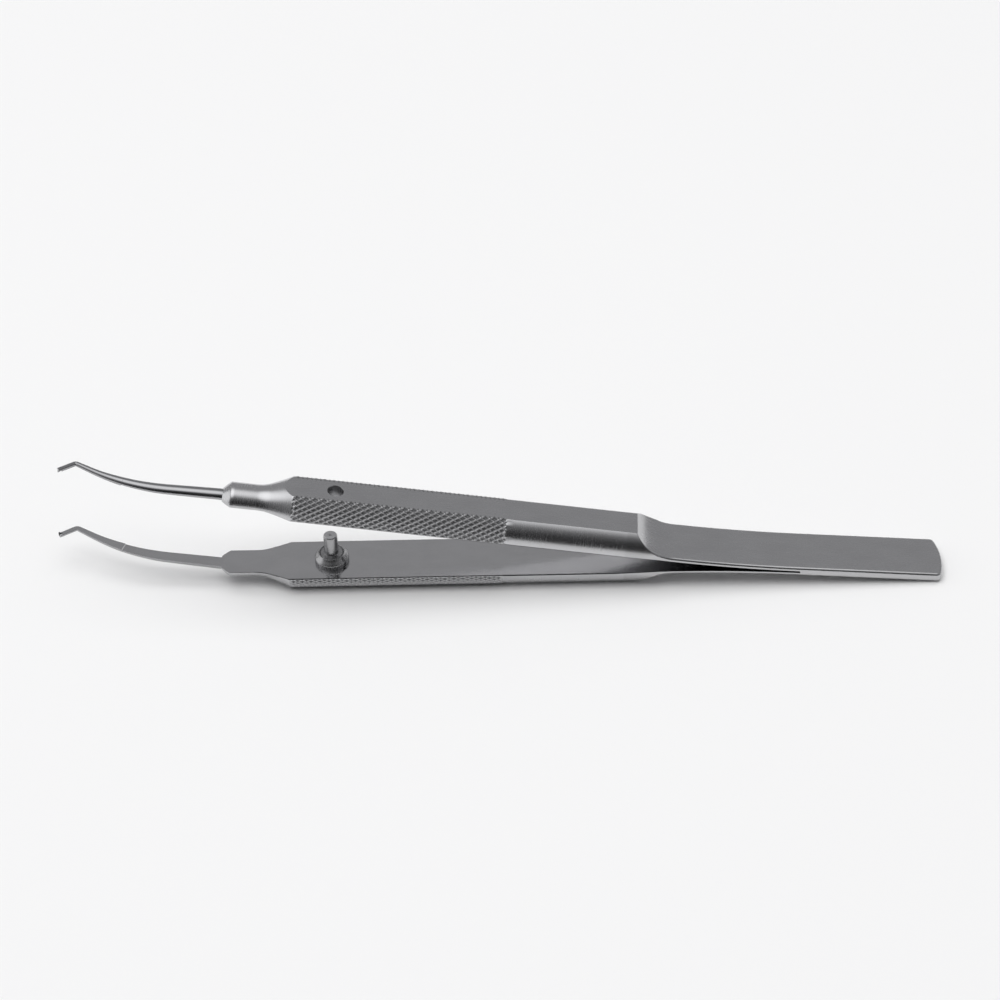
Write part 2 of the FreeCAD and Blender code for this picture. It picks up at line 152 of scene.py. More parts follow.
def make_object(name, points, faces, uvs, groups, place, materials, pits=None):
    # points in millimetres; groups gives each face's (material, smooth) pair
    mesh = bpy.data.meshes.new(name)
    mesh.from_pydata([tuple(p) for p in points], [], faces)
    layer = mesh.uv_layers.new(name="UVMap")
    flat = [c for face in uvs for uv in face for c in uv]
    layer.data.foreach_set("uv", np.array(flat, np.float32) * UV_SCALE)
    if pits is not None:
        mesh.attributes.new("pit", "FLOAT", "POINT").data.foreach_set("value", pits)
    for material in materials:
        mesh.materials.append(material)
    mesh.polygons.foreach_set("material_index", [g[0] for g in groups])
    mesh.polygons.foreach_set("use_smooth", [g[1] for g in groups])
    work = bmesh.new()
    work.from_mesh(mesh)
    bmesh.ops.remove_doubles(work, verts=work.verts, dist=2e-5)
    bmesh.ops.dissolve_degenerate(work, dist=1e-6, edges=work.edges)
    bmesh.ops.recalc_face_normals(work, faces=work.faces)
    work.to_mesh(mesh)
    work.free()
    mesh.transform(Matrix.Scale(MM, 4) @ place)
    thing = bpy.data.objects.new(name, mesh)
    bpy.context.scene.collection.objects.link(thing)
    return thing


def sharpen(thing, degrees, spare=None):
    # sharp edges by angle, except where both ends are in the spared region
    mesh = thing.data
    smooth = np.zeros(len(mesh.polygons), bool)
    mesh.polygons.foreach_get("use_smooth", smooth)
    mesh.set_sharp_from_angle(angle=math.radians(degrees))
    mesh.polygons.foreach_set("use_smooth", smooth)
    if spare is None:
        return
    count = len(mesh.vertices)
    where = np.zeros(count * 3)
    mesh.vertices.foreach_get("co", where)
    inside = spare(where.reshape(-1, 3))
    ends = np.zeros(len(mesh.edges) * 2, int)
    mesh.edges.foreach_get("vertices", ends)
    ends = ends.reshape(-1, 2)
    layer = mesh.attributes.get("sharp_edge")
    if layer is None:
        return
    values = np.zeros(len(mesh.edges), bool)
    layer.data.foreach_get("value", values)
    values &= ~(inside[ends[:, 0]] & inside[ends[:, 1]])
    layer.data.foreach_set("value", values)


def rounded(corner, toward_a, toward_b, radius, count):
    # a corner rounded from its a side to its b side
    a = toward_a / (np.linalg.norm(toward_a) + 1e-12)
    b = toward_b / (np.linalg.norm(toward_b) + 1e-12)
    half = math.acos(max(-1.0, min(1.0, float(a @ b)))) / 2
    if radius < 1e-4 or half > 1.54 or half < 0.05:
        return [corner.copy() for _ in range(count + 1)], 0.0
    reach = radius / math.tan(half)
    middle = (a + b) / np.linalg.norm(a + b)
    centre = corner + middle * radius / math.sin(half)
    start = corner + a * reach - centre
    stop = corner + b * reach - centre
    points = []
    for step in range(count + 1):
        share = step / count
        sweep = math.pi - 2 * half
        mix = math.sin((1 - share) * sweep) * start + math.sin(share * sweep) * stop
        points.append(centre + mix / math.sin(sweep))
    return points, reach


def half_ring(reach, radius, low, high, wide, count, soft_in, soft_out):
    """Side of the section from the inner flat to the outer flat, as (y, z)."""
    # the edge at the inner flat is broken by a narrow steep facet
    base = low + soft_in * math.cos(BREAK_SLOPE)
    first = math.asin(min(base / radius, 1.0))
    last = math.asin(min(high / radius, 1.0))
    angle = np.linspace(first, last, count + 1)
    z = np.clip(reach * np.sin(angle), base, min(high, radius))
    z[0] = base
    if high <= radius:
        z[-1] = high
    y = np.sqrt(np.maximum(np.broadcast_to(reach, angle.shape) ** 2 - z ** 2, 0.0))
    y = np.minimum(y, wide)
    if high > radius:
        y[-1] = 0.0
        soft_out = 0.0
    side = np.stack([y, z], 1)
    foot = np.array([side[0, 0] - soft_in * math.sin(BREAK_SLOPE), low])
    inner = [foot + (side[0] - foot) * share for share in np.linspace(0, 1, IN_STEPS + 1)]
    inward = np.array([-1.0, 0.0])
    outer, skip_out = rounded(side[-1], side[-2] - side[-1], inward, soft_out, OUT_STEPS - 1)
    # a narrow border keeps the shading of the flat level up to its rounding
    outer.append(outer[-1] - np.array([0.25 * soft_out, 0.0]))
    if skip_out:
        gaps = np.linalg.norm(np.diff(side, axis=0), axis=1)
        along = np.concatenate([[0], np.cumsum(gaps)])
        spots = np.linspace(0.0, along[-1] - skip_out, count + 1)
        side = np.stack([np.interp(spots, along, side[:, k]) for k in (0, 1)], 1)
    return np.array(inner + list(side[1:-1]) + outer)


def knurl_depth(u, v):
    """0 on the knots of a net of crossing ridges, 1 in the pits between them."""
    a = (u + v) / 2
    b = (u - v) / 2
    first = 1 - np.clip((np.abs(b - np.round(b)) - 0.04) / 0.23, 0, 1)
    second = 1 - np.clip((np.abs(a - np.round(a)) - 0.04) / 0.23, 0, 1)
    ridge = np.maximum(first * 0.76, second * 0.76)
    return 1 - ridge - 0.24 * first * second


def bar_radius(x):
    # chamfered front, neck, hollow flare, then the full bar
    run = FLARE_FILLET * math.sin(FLARE_ANGLE)
    rise = FLARE_FILLET * (1 - math.cos(FLARE_ANGLE))
    if x < CHAMFER_REAR:
        share = (x - NECK_FRONT) / (CHAMFER_REAR - NECK_FRONT)
        return FRONT_RADIUS + (NECK_RADIUS - FRONT_RADIUS) * share + 0.2 * share * (1 - share)
    if x < FLARE_FRONT:
        return NECK_RADIUS
    if x < FLARE_FRONT + run:
        return NECK_RADIUS + FLARE_FILLET - math.sqrt(FLARE_FILLET ** 2 - (x - FLARE_FRONT) ** 2)
    if x < KNURL_FRONT:
        share = (x - FLARE_FRONT - run) / (KNURL_FRONT - FLARE_FRONT - run)
        low = NECK_RADIUS + rise
        return low + (BAR_RADIUS - low) * share - 0.12 * share * (1 - share)
    return BAR_RADIUS


def outer_level(x):
    # flat, then the concave run-down to the leaf, with a slightly worn edge
    leaf = INNER_Z + LEAF_THICKNESS
    drop = RUN_DOWN_RADIUS - OUTER_Z + leaf
    foot = FLAT_REAR + math.sqrt(RUN_DOWN_RADIUS ** 2 - drop ** 2)
    if x >= foot:
        return leaf
    back = min(foot - x, RUN_DOWN_RADIUS * 0.98)
    level = leaf + RUN_DOWN_RADIUS - math.sqrt(RUN_DOWN_RADIUS ** 2 - back ** 2)
    if x < FLAT_REAR - 1.0:
        return OUTER_Z
    sharp = 16.0
    return -math.log(math.exp(-sharp * (level - OUTER_Z)) + 1.0) / sharp + OUTER_Z


def ramp(x, points):
    return float(np.interp(x, [p[0] for p in points], [p[1] for p in points]))


def handle_columns():
    """x of every section of the handle and leaf; the knurl's are fine ones."""
    front = list(np.linspace(NECK_FRONT, CHAMFER_REAR, 9)[:-1])
    front += list(np.linspace(CHAMFER_REAR, FLARE_FRONT, 9)[:-1])
    front += list(np.linspace(FLARE_FRONT, -7.9, 13)[:-1])
    front += list(np.linspace(-7.9, KNURL_FRONT, 34)[:-1])
    knurl = list(np.linspace(KNURL_FRONT, KNURL_REAR, KNURL_STEPS * FINE + 1))
    rear = list(np.linspace(KNURL_REAR, FLAT_REAR - 0.4, 20)[1:-1])
    rear += list(np.linspace(FLAT_REAR - 0.4, FLAT_REAR + 0.5, 19)[:-1])
    rear += list(np.linspace(FLAT_REAR + 0.5, LEAF_FRONT, 31))
    rear += [LEAF_FRONT + s for s in np.linspace(0, LEAF_LENGTH, 41)[1:]]
    return front, knurl, rear


def handle(name, place, pierced, materials):
    points, faces, uvs, groups = [], [], [], []
    front, knurl, rear = handle_columns()
    count_fine = KNURL_ROWS * FINE
    count_coarse = count_fine // COARSE_GRAIN
    side_u = []
    side_v = []
    pits = []

    def add_ring(x, fine):
        count = count_fine if fine else count_coarse
        radius = bar_radius(x)
        reach = radius
        depth = np.zeros(count + 1)
        if fine:
            u = (x - KNURL_FRONT) / (KNURL_REAR - KNURL_FRONT) * KNURL_STEPS
            row = np.linspace(FIRST_ROW, LAST_ROW, count + 1)
            run_out = min(1.0, u / 0.8, (KNURL_STEPS - u) / 0.8)
            fade = np.clip((row - FIRST_ROW) / 0.3, 0, 1) * run_out
            depth = knurl_depth(u, row)
            reach = radius + (RIDGE - (RIDGE + PIT) * depth) * fade
            depth = depth * fade
        depth = np.concatenate([np.zeros(IN_STEPS), depth, np.full(OUT_STEPS, depth[-1])])
        pits.extend(depth)
        pits.extend(reversed(depth))
        soft_out = ramp(x, OUTER_EDGE)
        soft_in = ramp(x, INNER_EDGE)
        if radius <= OUTER_Z or x < KNURL_FRONT:
            soft_out = 0.0
        wide = ramp(x, SIDE_LIMIT)
        half = half_ring(reach, radius, INNER_Z, outer_level(x), wide, count, soft_in, soft_out)
        bend = max(0.0, x - LEAF_FRONT)
        turn = bend / LEAF_LENGTH * HALF_OPENING
        big = LEAF_LENGTH / HALF_OPENING
        base_x = min(x, LEAF_FRONT) + big * math.sin(turn)
        base_z = INNER_Z + big * (1 - math.cos(turn))
        start = len(points)
        lengths = np.linalg.norm(np.diff(half, axis=0), axis=1)
        gaps = np.concatenate([[0], np.cumsum(lengths)])
        for way in (1, -1):
            order = range(len(half)) if way > 0 else reversed(range(len(half)))
            for k in order:
                y, z = half[k]
                off = z - INNER_Z
                points.append((base_x - math.sin(turn) * off, way * y, base_z + math.cos(turn) * off))
                side_u.append(x)
                side_v.append(way * (10 + gaps[k]))
        return list(range(start, len(points)))

    def breaks(count, grain):
        marks = list(range(IN_STEPS)) + list(range(IN_STEPS, IN_STEPS + count + 1, grain))
        size = IN_STEPS + count + OUT_STEPS + 1
        marks += list(range(IN_STEPS + count + 1, size))
        return marks, size

    def runs(ring, count, grain):
        marks, size = breaks(count, grain)
        found = []

        def kind_of(mark):
            if mark == size - 2:
                return "outer"
            return "soft" if mark < IN_STEPS or mark >= IN_STEPS + count else "side"

        for a, b in zip(marks, marks[1:]):
            found.append((ring[a:b + 1], kind_of(a)))
        found.append(([ring[size - 1], ring[size]], "outer"))
        mirrored = [2 * size - 1 - m for m in reversed(marks)]
        for a, b in zip(mirrored, mirrored[1:]):
            found.append((ring[a:b + 1], kind_of(2 * size - 1 - b)))
        found.append(([ring[2 * size - 1], ring[0]], "inner"))
        return found

    def uv_of(index, kind):
        if kind in ("outer", "inner"):
            shift = INNER_SHIFT if kind == "inner" else OUTER_SHIFT
            return (side_u[index], points[index][1] + shift)
        return (side_u[index], side_v[index])

    def add_face(loop, kind, smooth, x):
        faces.append(loop)
        uvs.append([uv_of(i, kind) for i in loop])
        slot = {"side": 0, "soft": 0, "outer": 1, "inner": 2}[kind]
        if slot == 0 and x > TRIM_FRONT:
            slot = 4
        groups.append((slot, smooth))

    def strip(ring_a, count_a, grain_a, ring_b, count_b, grain_b, x, skip):
        pairs = zip(runs(ring_a, count_a, grain_a), runs(ring_b, count_b, grain_b))
        for (run_a, kind), (run_b, other) in pairs:
            if kind in ("outer", "inner") and skip:
                continue
            smooth = kind in ("side", "soft") or bool(x > FLAT_REAR - 0.5)
            add_face(run_a + run_b[::-1], kind, smooth, x)

    rings = [add_ring(x, False) for x in front]
    faces.append(rings[0][::-1])
    uvs.append([(points[i][2], points[i][1] + 80) for i in rings[0][::-1]])
    groups.append((0, False))
    for a, b, x in zip(rings, rings[1:], front):
        strip(a, count_coarse, 1, b, count_coarse, 1, x, False)
    fine = [add_ring(x, True) for x in knurl]
    strip(rings[-1], count_coarse, 1, fine[0], count_fine, COARSE_GRAIN, front[-1], False)
    hole = [k for k, x in enumerate(knurl[:-1]) if pierced and abs(x - HOLE_X) < 1.5]
    for k, (a, b) in enumerate(zip(fine, fine[1:])):
        strip(a, count_fine, 1, b, count_fine, 1, knurl[k], k in hole)
    rings = [add_ring(x, False) for x in rear]
    strip(fine[-1], count_fine, COARSE_GRAIN, rings[0], count_coarse, 1, knurl[-1], False)
    for a, b, x in zip(rings, rings[1:], rear):
        strip(a, count_coarse, 1, b, count_coarse, 1, x, False)
    faces.append(rings[-1])
    uvs.append([(points[i][2], points[i][1]) for i in rings[-1]])
    groups.append((0, False))

    if pierced:
        add_hole(points, faces, uvs, groups, fine, hole, count_fine, pierced)
    pits.extend([0.0] * (len(points) - len(pits)))
    return make_object(name, points, faces, uvs, groups, place, materials, pits)


def add_hole(points, faces, uvs, groups, fine, hole, count, profile):
    """The flats round the bore, and the bore's wall, from (radius, z) pairs."""
    size = IN_STEPS + count + OUT_STEPS + 1
    first, last = hole[0], hole[-1] + 1
    steps = 64
    loops = []
    for radius, z in profile:
        start = len(points)
        for k in range(steps):
            angle = 2 * math.pi * k / steps
            points.append((HOLE_X + radius * math.cos(angle), radius * math.sin(angle), z))
        loops.append(list(range(start, start + steps)))
    for a, b in zip(loops, loops[1:]):
        for k in range(steps):
            after = (k + 1) % steps
            faces.append([a[k], a[after], b[after], b[k]])
            uvs.append([(k, 0), (k + 1, 0), (k + 1, 1), (k, 1)])
            groups.append((3, True))
    for loop, left, right, slot in ((loops[0], 0, 2 * size - 1, 2), (loops[-1], size - 1, size, 1)):
        rear, head = loop[0], loop[steps // 2]
        edge_left = [fine[k][left] for k in range(first, last + 1)]
        edge_right = [fine[k][right] for k in range(first, last + 1)]
        made = [edge_left + loop[:steps // 2 + 1]]
        made.append(edge_right + [loop[k % steps] for k in range(steps, steps // 2 - 1, -1)])
        made.append([edge_left[0], head, edge_right[0]])
        made.append([edge_left[-1], edge_right[-1], rear])
        for face in made:
            faces.append(face)
            shift = INNER_SHIFT if slot == 2 else OUTER_SHIFT
            uvs.append([(points[i][0], points[i][1] + shift) for i in face])
            groups.append((slot, False))


def shank_path():
    """(x run from the root, side offset, heading) along the middle of the shank."""
    x0 = STRAIGHT * math.cos(PATH_START)
    y0 = STRAIGHT * math.sin(PATH_START)
    path = []
    for s in np.linspace(-0.4, STRAIGHT, 14)[:-1]:
        path.append((s * math.cos(PATH_START), s * math.sin(PATH_START), PATH_START))
    for angle in np.linspace(PATH_START, PATH_END, 41):
        x = x0 + PATH_RADIUS * (math.sin(angle) - math.sin(PATH_START))
        y = y0 + PATH_RADIUS * (math.cos(PATH_START) - math.cos(angle))
        path.append((x, y, angle))
    last_x, last_y, heading = path[-1]
    apex_y = last_y + (APEX_RUN - last_x) * math.tan(heading)
    tip_run = SHANK_ROOT - TIP_X
    tip_heading = math.atan((TIP_Y - apex_y) / (tip_run - APEX_RUN))
    reach = APEX_BEND * math.tan((heading - tip_heading) / 2)
    near_x = APEX_RUN - reach * math.cos(heading)
    near_y = apex_y - reach * math.sin(heading)
    for share in np.linspace(0, 1, 9)[1:]:
        x = last_x + (near_x - last_x) * share
        y = last_y + (near_y - last_y) * share
        path.append((x, y, heading))
    for angle in np.linspace(heading, tip_heading, 15)[1:]:
        x = near_x - APEX_BEND * (math.sin(angle) - math.sin(heading))
        y = near_y - APEX_BEND * (math.cos(heading) - math.cos(angle))
        path.append((x, y, angle))
    start_x, start_y, _ = path[-1]
    end_x = tip_run + TIP_HALF * math.sin(tip_heading)
    for share in np.linspace(0, 1, 7)[1:]:
        x = start_x + (end_x - start_x) * share
        y = start_y + (TIP_Y - start_y) * share
        path.append((x, y, tip_heading))
    return path, tip_heading


def inner_face(run):
    # level of the shank's inner face, which leans inward toward the tip
    return INNER_Z - SHANK_LEAN * min(max(run, 0.0), APEX_RUN) - TIP_LEAN * max(run - APEX_RUN, 0.0)


def shank(name, place, side, materials):
    """Half-round shank and tip; side is -1 for the arm that is turned over."""
    points, faces, uvs, groups = [], [], [], []
    path, tip_heading = shank_path()
    stations = []
    for k, (x, y, heading) in enumerate(path):
        if stations and stations[-1][0] < PLATFORM_RUN <= x:
            before = path[k - 1]
            ends = ((PLATFORM_RUN - PLATFORM_RAMP, 0.0), (PLATFORM_RUN, PLATFORM_STEP))
            for run, plinth in ends:
                share = (run - before[0]) / (x - before[0])
                mixed = tuple(a + (b - a) * share for a, b in zip(before, (x, y, heading)))
                stations.append((*mixed, plinth))
        stations.append((x, y, heading, PLATFORM_STEP if x > PLATFORM_RUN else 0.0))
    rings = []
    table = []
    travelled = 0.0
    previous = None
    for x, y, heading, plinth in stations:
        half = float(np.interp(x, WIDTH_RUNS, HALF_WIDTHS))
        level = inner_face(x)
        corner = np.array([half, -plinth])
        shape, _ = rounded(corner, np.array([-1.0, 0.0]), np.array([0.0, 1.0]), SHANK_EDGE, 3)
        turns = np.linspace(0, math.pi, 29)
        arc = [np.array([half * math.cos(a), half * math.sin(a)]) for a in turns]
        if not plinth:
            # every section has as many points, so the arc's ends are repeated
            arc = [p for p in arc if p[1] > SHANK_EDGE * 1.2]
            pad = len(turns) - len(arc)
            arc = [arc[0]] * (pad // 2) + arc + [arc[-1]] * (pad - pad // 2)
        section = shape + arc + [np.array([-p[0], p[1]]) for p in reversed(shape)]
        across = np.array([math.sin(heading) * side, math.cos(heading)])
        centre = np.array([SHANK_ROOT - x, y * side])
        if previous is not None:
            travelled += float(np.linalg.norm(centre - previous))
        previous = centre
        start = len(points)
        around = 0.0
        for k, (a, z) in enumerate(section):
            spot = centre + across * a
            points.append((spot[0], spot[1], level + z))
            if k:
                around += float(np.linalg.norm(section[k] - section[k - 1]))
            table.append((travelled, around))
        rings.append(list(range(start, len(points))))
    plinths = [station[3] for station in stations]
    for a, b, step in zip(rings, rings[1:], np.diff(plinths)):
        for k in range(len(a)):
            after = (k + 1) % len(a)
            loop = [a[k], a[after], b[after], b[k]]
            faces.append(loop)
            if after:
                uvs.append([table[i] for i in loop])
                groups.append((0, True))
            else:
                uvs.append([(table[i][0], points[i][1] + 20) for i in loop])
                # the facet of the platform's step takes the third steel, painted with a glint
                groups.append((2 if step else 1, False))
    for ring in (rings[0][::-1], rings[-1]):
        faces.append(ring)
        uvs.append([(points[i][2], points[i][1]) for i in ring])
        groups.append((0, False))
    thing = make_object(name, points, faces, uvs, groups, place, materials)
    return thing, tip_heading


def tip_block(name, place, side, heading, span, low, high, length, taper, materials):
    """Block on the inner face of the tip, across from span[0] to span[1].

    It goes from low to high above the face, and taper is its size at the top;
    a block without taper also stands out past the end of the tip.
    """
    along = Vector((math.cos(heading), -math.sin(heading) * side, 0))
    across = Vector((math.sin(heading) * side, math.cos(heading), 0))
    tip_run = SHANK_ROOT - TIP_X
    face = inner_face(tip_run) - PLATFORM_STEP
    end = Vector((TIP_X - TIP_HALF * math.sin(heading), TIP_Y * side, face))
    middle = (span[0] + span[1]) / 2
    back = 0.0 if taper < 1 else -0.2
    points = []
    for level, size in ((low, 1.0), (0.0, 1.0), (high * 0.6, 0.5 + taper / 2), (high, taper)):
        reach = (span[1] - span[0]) / 2 * size
        for a, b in ((back, -1), (length * size, -1), (length * size, 1), (back, 1)):
            points.append(end + along * a + across * (middle + reach * b) - Vector((0, 0, level)))
    faces = [[3, 2, 1, 0], [12, 13, 14, 15]]
    for k in range(3):
        for c in range(4):
            d = (c + 1) % 4
            faces.append([4 * k + c, 4 * k + d, 4 * k + 4 + d, 4 * k + 4 + c])
    uvs = [[(points[i][0], points[i][1]) for i in face] for face in faces]
    return make_object(name, points, faces, uvs, [(0, False)] * len(faces), place, materials)


def boolean(thing, cutters, kind):
    for cutter in cutters:
        tool = thing.modifiers.new("cut", "BOOLEAN")
        tool.object = cutter
        tool.operation = kind
        tool.solver = "EXACT"
    view = bpy.context.evaluated_depsgraph_get()
    view.update()
    made = bpy.data.meshes.new_from_object(thing.evaluated_get(view))
    thing.modifiers.clear()
    thing.data = made
    for cutter in cutters:
        bpy.data.objects.remove(cutter)


def revolve(name, profile, place, materials, bright, steps=96, smooth_angle=30):
    """Turned part about z from (radius, z) pairs; radius 0 closes an end.

    Faces wholly above the bright level are in the second material; for the pin that is a lighter tone of
    its steel, a painted highlight on its top.
    """
    points, faces, uvs, groups = [], [], [], []
    rings = []
    along = 0.0
    marks = []
    for k, (radius, z) in enumerate(profile):
        if k:
            along += math.dist(profile[k - 1], (radius, z))
        marks.append(along)
        start = len(points)
        if radius < 1e-6:
            points.append((0, 0, z))
            rings.append([start] * steps)
        else:
            for step in range(steps):
                angle = 2 * math.pi * step / steps
                points.append((radius * math.cos(angle), radius * math.sin(angle), z))
            rings.append(list(range(start, start + steps)))
    for k, (a, b) in enumerate(zip(rings, rings[1:])):
        for step in range(steps):
            after = (step + 1) % steps
            loop = []
            uv = []
            corners = (
                (a[step], step, marks[k]),
                (a[after], step + 1, marks[k]),
                (b[after], step + 1, marks[k + 1]),
                (b[step], step, marks[k + 1]),
            )
            for index, u, v in corners:
                if index not in loop:
                    loop.append(index)
                    uv.append((u * 0.1, v))
            faces.append(loop)
            uvs.append(uv)
            groups.append((int(min(profile[k][1], profile[k + 1][1]) > bright), True))
    thing = make_object(name, points, faces, uvs, groups, place, materials)
    sharpen(thing, smooth_angle)
    return thing


# materials
ALONG = (0.35, 14.0)
AROUND = (16.0, 0.3)


def steel(name, tone, rough, marks, depth, grain, pit_shade=False, painted_shade=None):
    """Stainless steel with grinding or turning marks, grain and a faint cloud.

    Marks gives their stretch in u and v, depth their strength. With pit_shade the colour
    is painted darker in the knurl's pits by their depth, painted shade together with some grime, and a
    touch lighter on the ridges; painted_shade darkens the colour from one u to another, painted shade.
    """
    material = bpy.data.materials.new(name)
    material.use_nodes = True
    nodes = material.node_tree.nodes
    links = material.node_tree.links
    nodes.clear()
    output = nodes.new("ShaderNodeOutputMaterial")
    shader = nodes.new("ShaderNodeBsdfPrincipled")
    links.new(shader.outputs["BSDF"], output.inputs["Surface"])
    shader.inputs["Metallic"].default_value = 1.0
    place = nodes.new("ShaderNodeTexCoord")

    def noise(scale, stretch, detail, roughness=0.6):
        mapping = nodes.new("ShaderNodeMapping")
        mapping.inputs["Scale"].default_value = (stretch[0], stretch[1], 1)
        links.new(place.outputs["UV"], mapping.inputs["Vector"])
        node = nodes.new("ShaderNodeTexNoise")
        node.inputs["Scale"].default_value = scale
        node.inputs["Detail"].default_value = detail
        node.inputs["Roughness"].default_value = roughness
        links.new(mapping.outputs["Vector"], node.inputs["Vector"])
        return node.outputs["Fac"]

    def spread(value, low, high, first=0.3, last=0.7):
        node = nodes.new("ShaderNodeMapRange")
        node.inputs["From Min"].default_value = first
        node.inputs["From Max"].default_value = last
        node.inputs["To Min"].default_value = low
        node.inputs["To Max"].default_value = high
        links.new(value, node.inputs["Value"])
        return node.outputs["Result"]

    def combine(kind, a, b):
        node = nodes.new("ShaderNodeMath")
        node.operation = kind
        links.new(a, node.inputs[0])
        links.new(b, node.inputs[1])
        return node.outputs[0]

    brushed = noise(20.0, marks, 5.0)
    cloud = noise(9.0, (0.5, 1.0), 3.0)
    fine = noise(260.0, (1.0, 1.0), 2.0)
    level = combine("MULTIPLY", spread(cloud, 0.97, 1.03), spread(brushed, 0.985, 1.015))
    roughness = combine("ADD", spread(brushed, rough * 0.85, rough * 1.15), spread(cloud, -0.015, 0.015))
    if pit_shade:
        # painted shade with some grime: the colour darkens in the knurl's pits by their depth
        pit = nodes.new("ShaderNodeAttribute")
        pit.attribute_name = "pit"
        level = combine("MULTIPLY", level, spread(pit.outputs["Fac"], 1.05, 0.38, 0.05, 0.9))
        roughness = combine("ADD", roughness, spread(pit.outputs["Fac"], 0.0, 0.15, 0.0, 1.0))
    # painted shade: the colour darkens from one u to another
    if painted_shade:
        split = nodes.new("ShaderNodeSeparateXYZ")
        links.new(place.outputs["UV"], split.inputs["Vector"])
        first, last, darkest = painted_shade
        fall = spread(split.outputs["X"], 1.0, darkest, first * UV_SCALE, last * UV_SCALE)
        level = combine("MULTIPLY", level, fall)
    tint = nodes.new("ShaderNodeVectorMath")
    tint.operation = "SCALE"
    tint.inputs[0].default_value = tone
    links.new(level, tint.inputs["Scale"])
    links.new(tint.outputs["Vector"], shader.inputs["Base Color"])
    links.new(roughness, shader.inputs["Roughness"])
    scratch = nodes.new("ShaderNodeBump")
    scratch.inputs["Strength"].default_value = depth
    scratch.inputs["Distance"].default_value = 0.00002
    links.new(brushed, scratch.inputs["Height"])
    tooth = nodes.new("ShaderNodeBump")
    tooth.inputs["Strength"].default_value = grain
    tooth.inputs["Distance"].default_value = 0.00001
    links.new(fine, tooth.inputs["Height"])
    links.new(scratch.outputs["Normal"], tooth.inputs["Normal"])
    links.new(tooth.outputs["Normal"], shader.inputs["Normal"])
    return material


# the knurl's pits are painted darker, painted shade together with some grime
turned_side = steel("turned_side", (0.53, 0.53, 0.541), 0.25, AROUND, 0.016, 0.05, pit_shade=True)
satin_flat = steel("satin_flat", (0.52, 0.52, 0.53), 0.26, ALONG, 0.06, 0.1)
# the inner flats are painted darker toward and along the leaves, painted shade in the narrow gap between
# the arms
inner_flat = steel("inner_flat", (0.56, 0.56, 0.57), 0.15, ALONG, 0.04, 0.05, painted_shade=(36.0, 43.0, 0.5))
# the bore's wall has a darker tone than the rest of the arm, painted shade inside the hole
bore_shaded = steel("bore_shaded", (0.36, 0.36, 0.37), 0.4, AROUND, 0.2, 0.1)
ground_edge = steel("ground_edge", (0.5, 0.5, 0.508), 0.24, ALONG, 0.08, 0.1)
polished = steel("polished_shank", (0.38, 0.38, 0.39), 0.18, ALONG, 0.04, 0.03)
platform_flat = steel("platform_flat", (0.54, 0.54, 0.55), 0.2, ALONG, 0.06, 0.05)
# near-white tone for the step's narrow facet, a painted glint
step_glint = steel("platform_step", (0.95, 0.95, 0.95), 0.15, ALONG, 0.02, 0.02)
pin_steel = steel("turned_pin", (0.37, 0.37, 0.376), 0.27, AROUND, 0.06, 0.04)
# a much lighter tone of the pin's steel for its top end, a painted highlight
pin_top_highlight = steel("pin_end_painted_highlight", (0.64, 0.64, 0.65), 0.3, AROUND, 0.06, 0.04)
handle_steels = [turned_side, satin_flat, inner_flat, bore_shaded, ground_edge]


def knurl_zone(place):
    # tells which points, in metres, lie on the knurl of the arm placed so
    back = place.inverted()

    def inside(where):
        local = where / MM @ np.array(back.to_3x3()).T + np.array(back.translation)
        outward = np.hypot(local[:, 1], local[:, 2])
        deep = (local[:, 2] > INNER_Z + 0.02) & (local[:, 2] < OUTER_Z - 0.02)
        near = (local[:, 0] > KNURL_FRONT + 0.05) & (local[:, 0] < KNURL_REAR - 0.05)
        return near & deep & (outward > 3.2)
    return inside


# arms
upper_bore = [
    (1.23, INNER_Z),
    (1.2, INNER_Z + 0.03),
    (HOLE_RADIUS + 0.02, INNER_Z + 0.24),
    (HOLE_RADIUS, INNER_Z + 0.27),
    (HOLE_RADIUS, OUTER_Z - 0.06),
    (HOLE_RADIUS + 0.05, OUTER_Z),
]
upper = handle("upper_handle", UPPER, upper_bore, handle_steels)
lower = handle("lower_handle", LOWER, None, handle_steels)
sharpen(upper, 40, knurl_zone(UPPER))
sharpen(lower, 40, knurl_zone(LOWER))

shank_steels = [polished, platform_flat, step_glint]
# where the tips are cut back and where their teeth stand, across the tip
beside_tooth = [(TOOTH_HALF, TIP_HALF * 1.5), (-TIP_HALF * 1.5, -TOOTH_HALF)]
beside_notch = [(NOTCH_HALF, TIP_HALF * 0.9), (-TIP_HALF * 0.9, -NOTCH_HALF)]
tips = (
    ("upper_shank", UPPER, 1, "upper_arm", beside_tooth, [(-TOOTH_HALF, TOOTH_HALF)], -0.1),
    ("lower_shank", LOWER, -1, "lower_arm", [(-NOTCH_HALF, NOTCH_HALF)], beside_notch, -0.05),
)
for name, place, side, body, cut_spans, tooth_spans, root in tips:
    thing, tip_heading = shank(name, place, side, shank_steels)
    spot = (place, side, tip_heading)
    cuts = [tip_block("cut", *spot, s, -NOTCH_DEPTH, 0.1, 0.39, 1.0, [polished]) for s in cut_spans]
    teeth = []
    for s in tooth_spans:
        teeth.append(tip_block("tooth", *spot, s, root, TOOTH_HEIGHT, 0.34, 0.4, [polished]))
    boolean(thing, cuts, "DIFFERENCE")
    boolean(thing, teeth, "UNION")
    sharpen(thing, 35)
    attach(thing, body)
    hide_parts(body)

for thing, place, body in ((upper, UPPER, "upper_arm"), (lower, LOWER, "lower_arm")):
    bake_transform(thing)
    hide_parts(body, body.replace("arm", "leaf_spring"))


